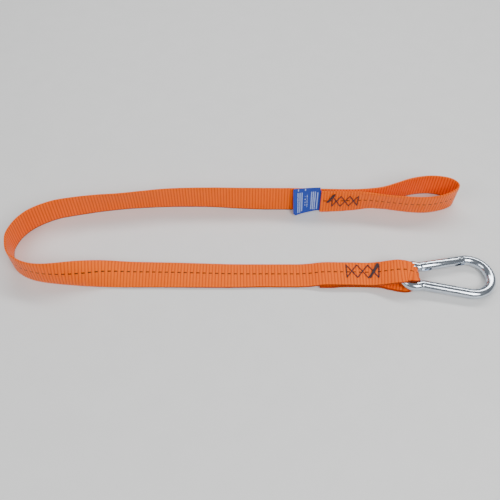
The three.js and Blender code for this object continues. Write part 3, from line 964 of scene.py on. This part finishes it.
class Finish:
    """A material. Constants are set on the shader's own sockets."""

    def __init__(self, name, **constants):
        self.material = bpy.data.materials.new(name)
        self.material.use_nodes = True
        self.nodes = self.material.node_tree.nodes
        self.links = self.material.node_tree.links
        self.shader = self.nodes["Principled BSDF"]
        for key, value in constants.items():
            self.shader.inputs[key.replace("_", " ")].default_value = value

    def node(self, kind, settings=None, inputs=None, output=0):
        node = self.nodes.new(kind)
        for key, value in (settings or {}).items():
            setattr(node, key, value)
        for key, value in (inputs or {}).items():
            if isinstance(value, Value):
                self.links.new(value.socket, node.inputs[key])
            else:
                node.inputs[key].default_value = value
        return Value(self, node.outputs[output])

    def place(self, scale=(1, 1, 1)):
        where = self.node("ShaderNodeTexCoord", output=3)
        return self.node("ShaderNodeMapping", {}, {"Vector": where, "Scale": scale})

    def noise(self, where, scale, detail=2.0, rough=0.5):
        return self.node("ShaderNodeTexNoise", {}, {
            "Vector": where, "Scale": scale, "Detail": detail, "Roughness": rough})

    def mix(self, share, first, second):
        return self.node("ShaderNodeMix", {"data_type": "RGBA"},
                         {0: share, 6: first, 7: second}, 2)

    def uv(self, name):
        """u and v of a named UV map, and the map itself as a vector."""
        where = self.node("ShaderNodeUVMap", {"uv_map": name})
        split = [self.node("ShaderNodeSeparateXYZ", {}, {0: where}, i) for i in range(2)]
        return (*split, where)

    def bump(self, height, strength, distance):
        return self.node("ShaderNodeBump", {}, {
            "Height": height, "Strength": strength, "Distance": distance})

    def feed(self, **inputs):
        for key, value in inputs.items():
            self.links.new(value.socket, self.shader.inputs[key.replace("_", " ")])
        return self.material


def webbing_finish():
    """Orange polyester rib weave. The dark tracer yarn floats over every other rib on one face."""
    finish = Finish("ribbed_webbing", Roughness=0.5, Specular_IOR_Level=0.4,
                    Specular_Tint=(1.0, 0.6, 0.15, 1))
    u, v, where = finish.uv("Ribs")
    crest = abs((u * math.pi).sine()) ** RIB_FULLNESS
    row = u.floor() % 2
    yarns = 26
    column = abs(((v % 1) * (yarns * math.pi) + row * (math.pi / 2)).sine())
    fibre = finish.noise(finish.node("ShaderNodeMapping", {}, {
        "Vector": where, "Scale": (3.0, 90.0, 1.0)}), 3.0, 3.0)
    patch = finish.noise(finish.place(), 22.0, 2.0)
    # Painted shade: the grooves between the ribs are coloured deep red and the crests full orange, so the ribs are
    # shaded in the colour as well as by their shape.
    groove_shade = (0.5, 0.022, 0.0, 1)
    crown = (1.0, 0.14, 0.0, 1)
    colour = finish.mix((crest * 1.15 - 0.1).clamped(), groove_shade, crown)
    colour = finish.mix((patch * 0.35 - 0.05).clamped(), colour, (0.85, 0.065, 0.0, 1))
    colour = finish.mix((fibre * 0.5 - 0.12).clamped(), colour, (1.0, 0.21, 0.004, 1))
    traced = v < 1.0
    line = abs(v - 0.56) < 0.022
    dash = (u % 2).between(0.08, 1.1)
    colour = finish.mix(traced * line * dash, colour, (0.035, 0.003, 0.006, 1))
    # Painted shade: the plain face's last edge and the selvedge beyond it are darkened to deep red. This stands in for
    # the shadow along the near run's near edge and at the far run's foot on the floor.
    colour = finish.mix((v > 2.965) * 0.8, colour, (0.2, 0.005, 0.0, 1))
    height = crest * 0.4 + column * 0.45 + fibre * 0.3
    return finish.feed(
        Base_Color=colour,
        Roughness=fibre * 0.2 + 0.24,
        Normal=finish.bump(height, 0.55, 0.0004))


def thread_finish():
    """Dark bonded thread, three plies twisted."""
    finish = Finish("seam_thread", Roughness=0.5, Sheen_Weight=0.1)
    where = finish.place()
    twist = finish.node("ShaderNodeTexWave", {"wave_type": "BANDS", "bands_direction": "DIAGONAL"},
                        {"Vector": where, "Scale": 900.0, "Distortion": 1.5})
    fuzz = finish.noise(where, 2600.0, 2.0)
    colour = finish.mix((twist * 0.6 + fuzz * 0.4).clamped(),
                        (0.014, 0.004, 0.008, 1), (0.06, 0.014, 0.022, 1))
    return finish.feed(Base_Color=colour, Roughness=fuzz * 0.3 + 0.4,
                       Normal=finish.bump(twist, 0.5, 0.0002))


# Pale bars on the label: place along it, lower end, upper end, how much of it is left out
LABEL_BARS = [
    (0.395, 0.06, 0.80, 0.30), (0.455, 0.06, 0.84, 0.36), (0.50, 0.08, 0.84, 0.30),
    (0.545, 0.10, 0.84, 0.34), (0.65, 0.22, 0.76, 0.50), (0.70, 0.30, 0.70, 0.55),
    (0.78, 0.10, 0.84, 0.30), (0.83, 0.06, 0.84, 0.33), (0.88, 0.06, 0.84, 0.38),
    (0.70, 0.90, 0.98, 0.10), (0.87, 0.90, 0.98, 0.10),
]


BAR_HALF = 0.0125


def label_finish():
    """Blue woven tape with pale bars of uneven length in place of printing."""
    finish = Finish("woven_label", Roughness=0.7, Sheen_Weight=0.1)
    u, v, where = finish.uv("Label")
    warp = abs((u * (90 * math.pi)).sine())
    weft = abs((v * (80 * math.pi)).sine())
    weave = finish.noise(where, 60.0, 3.0)
    words = finish.noise(finish.node("ShaderNodeMapping", {}, {
        "Vector": where, "Scale": (70.0, 17.0, 1.0)}), 1.0, 1.0)
    bars = None
    for at, low, high, gap in LABEL_BARS:
        bar = (abs(u - at) < BAR_HALF) * v.between(low, high) * (words > gap)
        bars = bar if bars is None else bars + bar
    blue = finish.mix((weave * 0.7).clamped(), (0.004, 0.03, 0.29, 1), (0.008, 0.06, 0.48, 1))
    colour = finish.mix((bars.clamped() * 0.78).clamped(), blue, (0.42, 0.55, 0.86, 1))
    return finish.feed(
        Base_Color=colour,
        Roughness=weave * 0.2 + 0.6,
        Normal=finish.bump(warp * 0.5 + weft * 0.5 + weave * 0.2, 0.35, 0.0002))


def zinc_finish(name="bright_zinc", tone=1.0):
    """Bright zinc plate on drawn wire: faint clouding, fine scratches and a bluish cast."""
    finish = Finish(name, Metallic=1.0, Roughness=0.2)
    where = finish.place()
    cloud = finish.noise(where, 160.0, 3.0)
    fine = finish.noise(where, 1400.0, 2.0)
    scratch = finish.noise(finish.place((0.25, 2.2, 2.2)), 900.0, 2.0)
    pale = tuple(c * tone for c in (0.70, 0.75, 0.81)) + (1,)
    deep = tuple(c * tone for c in (0.48, 0.53, 0.60)) + (1,)
    colour = finish.mix((cloud * 1.4 - 0.3).clamped(), deep, pale)
    return finish.feed(
        Base_Color=colour,
        Roughness=cloud * 0.1 + scratch * 0.08 + 0.06,
        Normal=finish.bump(fine * 0.4 + scratch * 0.6, 0.12, 0.0002))


def floor_finish():
    finish = Finish("pale_floor", Roughness=0.6)
    grain = finish.noise(finish.place(), 40.0, 3.0)
    colour = finish.mix(grain, (0.74, 0.74, 0.73, 1), (0.79, 0.79, 0.78, 1))
    return finish.feed(Base_Color=colour)


# Stage -----------------------------------------------------------------------------------------

CAMERA_HEIGHT = 450.0
ELEVATION = math.radians(51.5)
LENS = 43.6


def stage():
    data = bpy.data.cameras.new("view")
    data.lens = LENS
    camera = bpy.data.objects.new("view", data)
    bpy.context.scene.collection.objects.link(camera)
    camera.location = point(0, -CAMERA_HEIGHT / math.tan(ELEVATION), CAMERA_HEIGHT)
    camera.rotation_euler = (math.pi / 2 - ELEVATION, 0, 0)
    bpy.context.scene.camera = camera

    bpy.ops.mesh.primitive_plane_add(size=6, location=(0, 0, -0.0002))
    floor = bpy.context.object
    floor.name = "floor"
    floor.data.materials.append(floor_finish())
    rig.stage(floor)

    world = bpy.data.worlds.new("soft_room")
    world.use_nodes = True
    world.node_tree.nodes["Background"].inputs[0].default_value = (0.93, 0.96, 1.0, 1)
    world.node_tree.nodes["Background"].inputs[1].default_value = 0.27
    bpy.context.scene.world = world
    lights = [("key", (0.2, 0.75, 0.9), (1.8, 0.22), 12.5),
              ("fill", (0.5, -0.7, 0.8), (0.5, 0.5), 9.5),
              ("left_fill", (-0.7, -0.5, 0.8), (0.6, 0.6), 5.0)]
    for name, where, size, power in lights:
        lamp = bpy.data.lights.new(name, "AREA")
        lamp.shape = "RECTANGLE"
        lamp.size, lamp.size_y = size
        lamp.energy = power
        obj = bpy.data.objects.new(name, lamp)
        obj.location = where
        obj.rotation_euler = (-Vector(where)).to_track_quat("-Z", "Y").to_euler()
        bpy.context.scene.collection.objects.link(obj)


# Assembly --------------------------------------------------------------------------------------

def web_path(first, last):
    """Points of the web's middle line between two stations, for its measure."""
    return [point(*WEB["centre"][i]) for i in range(first, last + 1, RINGS_PER_RIB)]


def web_pieces():
    material = webbing_finish()
    last = len(WEB["at"]) - 1
    eye = ribbon("webbing_hook_eye", 0, EYE_TOP_CUT)
    near = ribbon("webbing_near_run", EYE_TOP_CUT, TURN_CUT)
    far = ribbon("webbing_far_run", TURN_CUT, last)
    plans = [
        (eye, "web_hook_eye", ("hook_eye", "hook"), (119, -35, 6.8), (135, -35, 6.8)),
        (near, "web_run", ("web", "hook_eye"), (34, -31, 1), (54, -31, 1)),
        (far, "web_hand_loop", ("web", "hand_loop"), (28, 54, 12), (48, 54, 12)),
    ]
    for piece, node, bodies, start, end in plans:
        piece.data.materials.append(material)
        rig.replaces(piece, node)
        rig.blend(piece, *bodies, start=point(*start), end=point(*end))
        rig.slot(piece, "webbing")
    near_path = web_path(EYE_TOP_CUT, TURN_CUT)
    far_path = web_path(TURN_CUT, last)
    measure = lambda path: sum((b - a).length for a, b in zip(path, path[1:]))
    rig.cord(near, exit=near_path[0], length=measure(near_path), diameter=WEB_WIDTH * MM,
            far_end="object", stiffness="medium", lay="loose", path=near_path)
    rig.cord(far, exit=far_path[0], length=measure(far_path), diameter=WEB_WIDTH * MM,
            far_end="object", stiffness="medium", lay="loose", path=far_path)


def main():
    stage()
    web_pieces()
    seam_threads(thread_finish())
    label_piece(label_finish())
    steel = zinc_finish()
    hook_body(steel)
    hook_gate(steel)
    rivet("hinge_rivet", "gate_hinge_pin", 0, "hook", steel)
    rivet("latch_rivet", "latch_pin", PIN_TO_PIN, "gate", steel)
    gate_plunger(steel)
    gate_spring(zinc_finish("spring_wire", 0.7))


main()
low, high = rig.bounds()
json.dump({"cad": [list(cad_low), list(cad_high)], "visual": [list(low), list(high)]},
          open("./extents.json", "w"))
